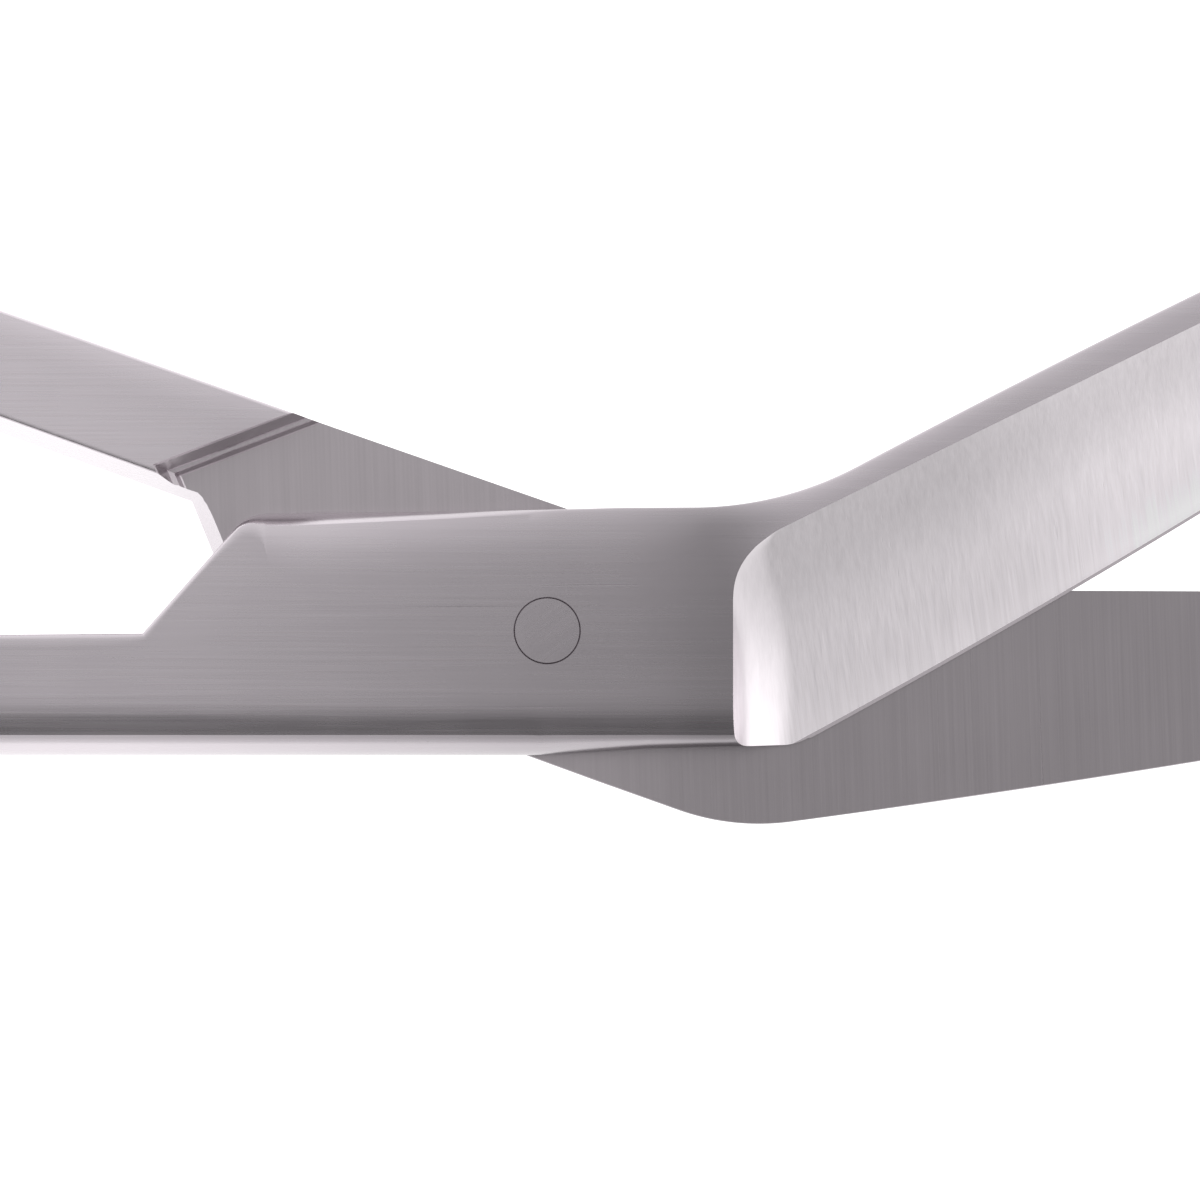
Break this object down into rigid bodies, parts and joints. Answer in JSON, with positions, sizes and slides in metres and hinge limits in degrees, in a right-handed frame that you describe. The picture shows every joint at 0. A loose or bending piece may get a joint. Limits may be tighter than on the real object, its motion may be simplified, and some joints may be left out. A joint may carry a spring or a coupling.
{
  "type": "angled bandage scissors",
  "caption": "Riveted lap-joint bandage scissors with finger rings and hollow-ground blades bent up from the shanks; the longer blade ends in a blunt probe tip.",
  "frame": {"origin": "on the rivet's axis, in the plane that the scissors lie on, which is the underside of the rivet, the lower lap plate and both shanks and rings", "axes": "+Z along the rivet's axis, from the lower lever to the upper lever; +X along the upper lever's shank from its finger ring towards the blades; the lower lever's ring is on the +Y side"},
  "size_m": [0.1462, 0.0849, 0.0046],
  "materials": {
    "upper_lever_steel": "satin-brushed stainless steel, blade hollow-ground across its length",
    "lower_lever_steel": "satin-brushed stainless steel, shear face ground across its length",
    "rivet_steel": "stainless steel, ground flush with the levers"
  },
  "bodies": {
    "upper": {"upper_lever": "upper_lever_steel", "pivot_rivet": "rivet_steel"},
    "lower": {"lower_lever": "lower_lever_steel"}
  },
  "joints": [
    {"name": "pivot", "type": "hinge", "parent": "upper", "child": "lower", "pos_m": [0, 0, 0.0023], "axis": [0, 0, 1], "range_deg": [-95, 16.5]}
  ]
}
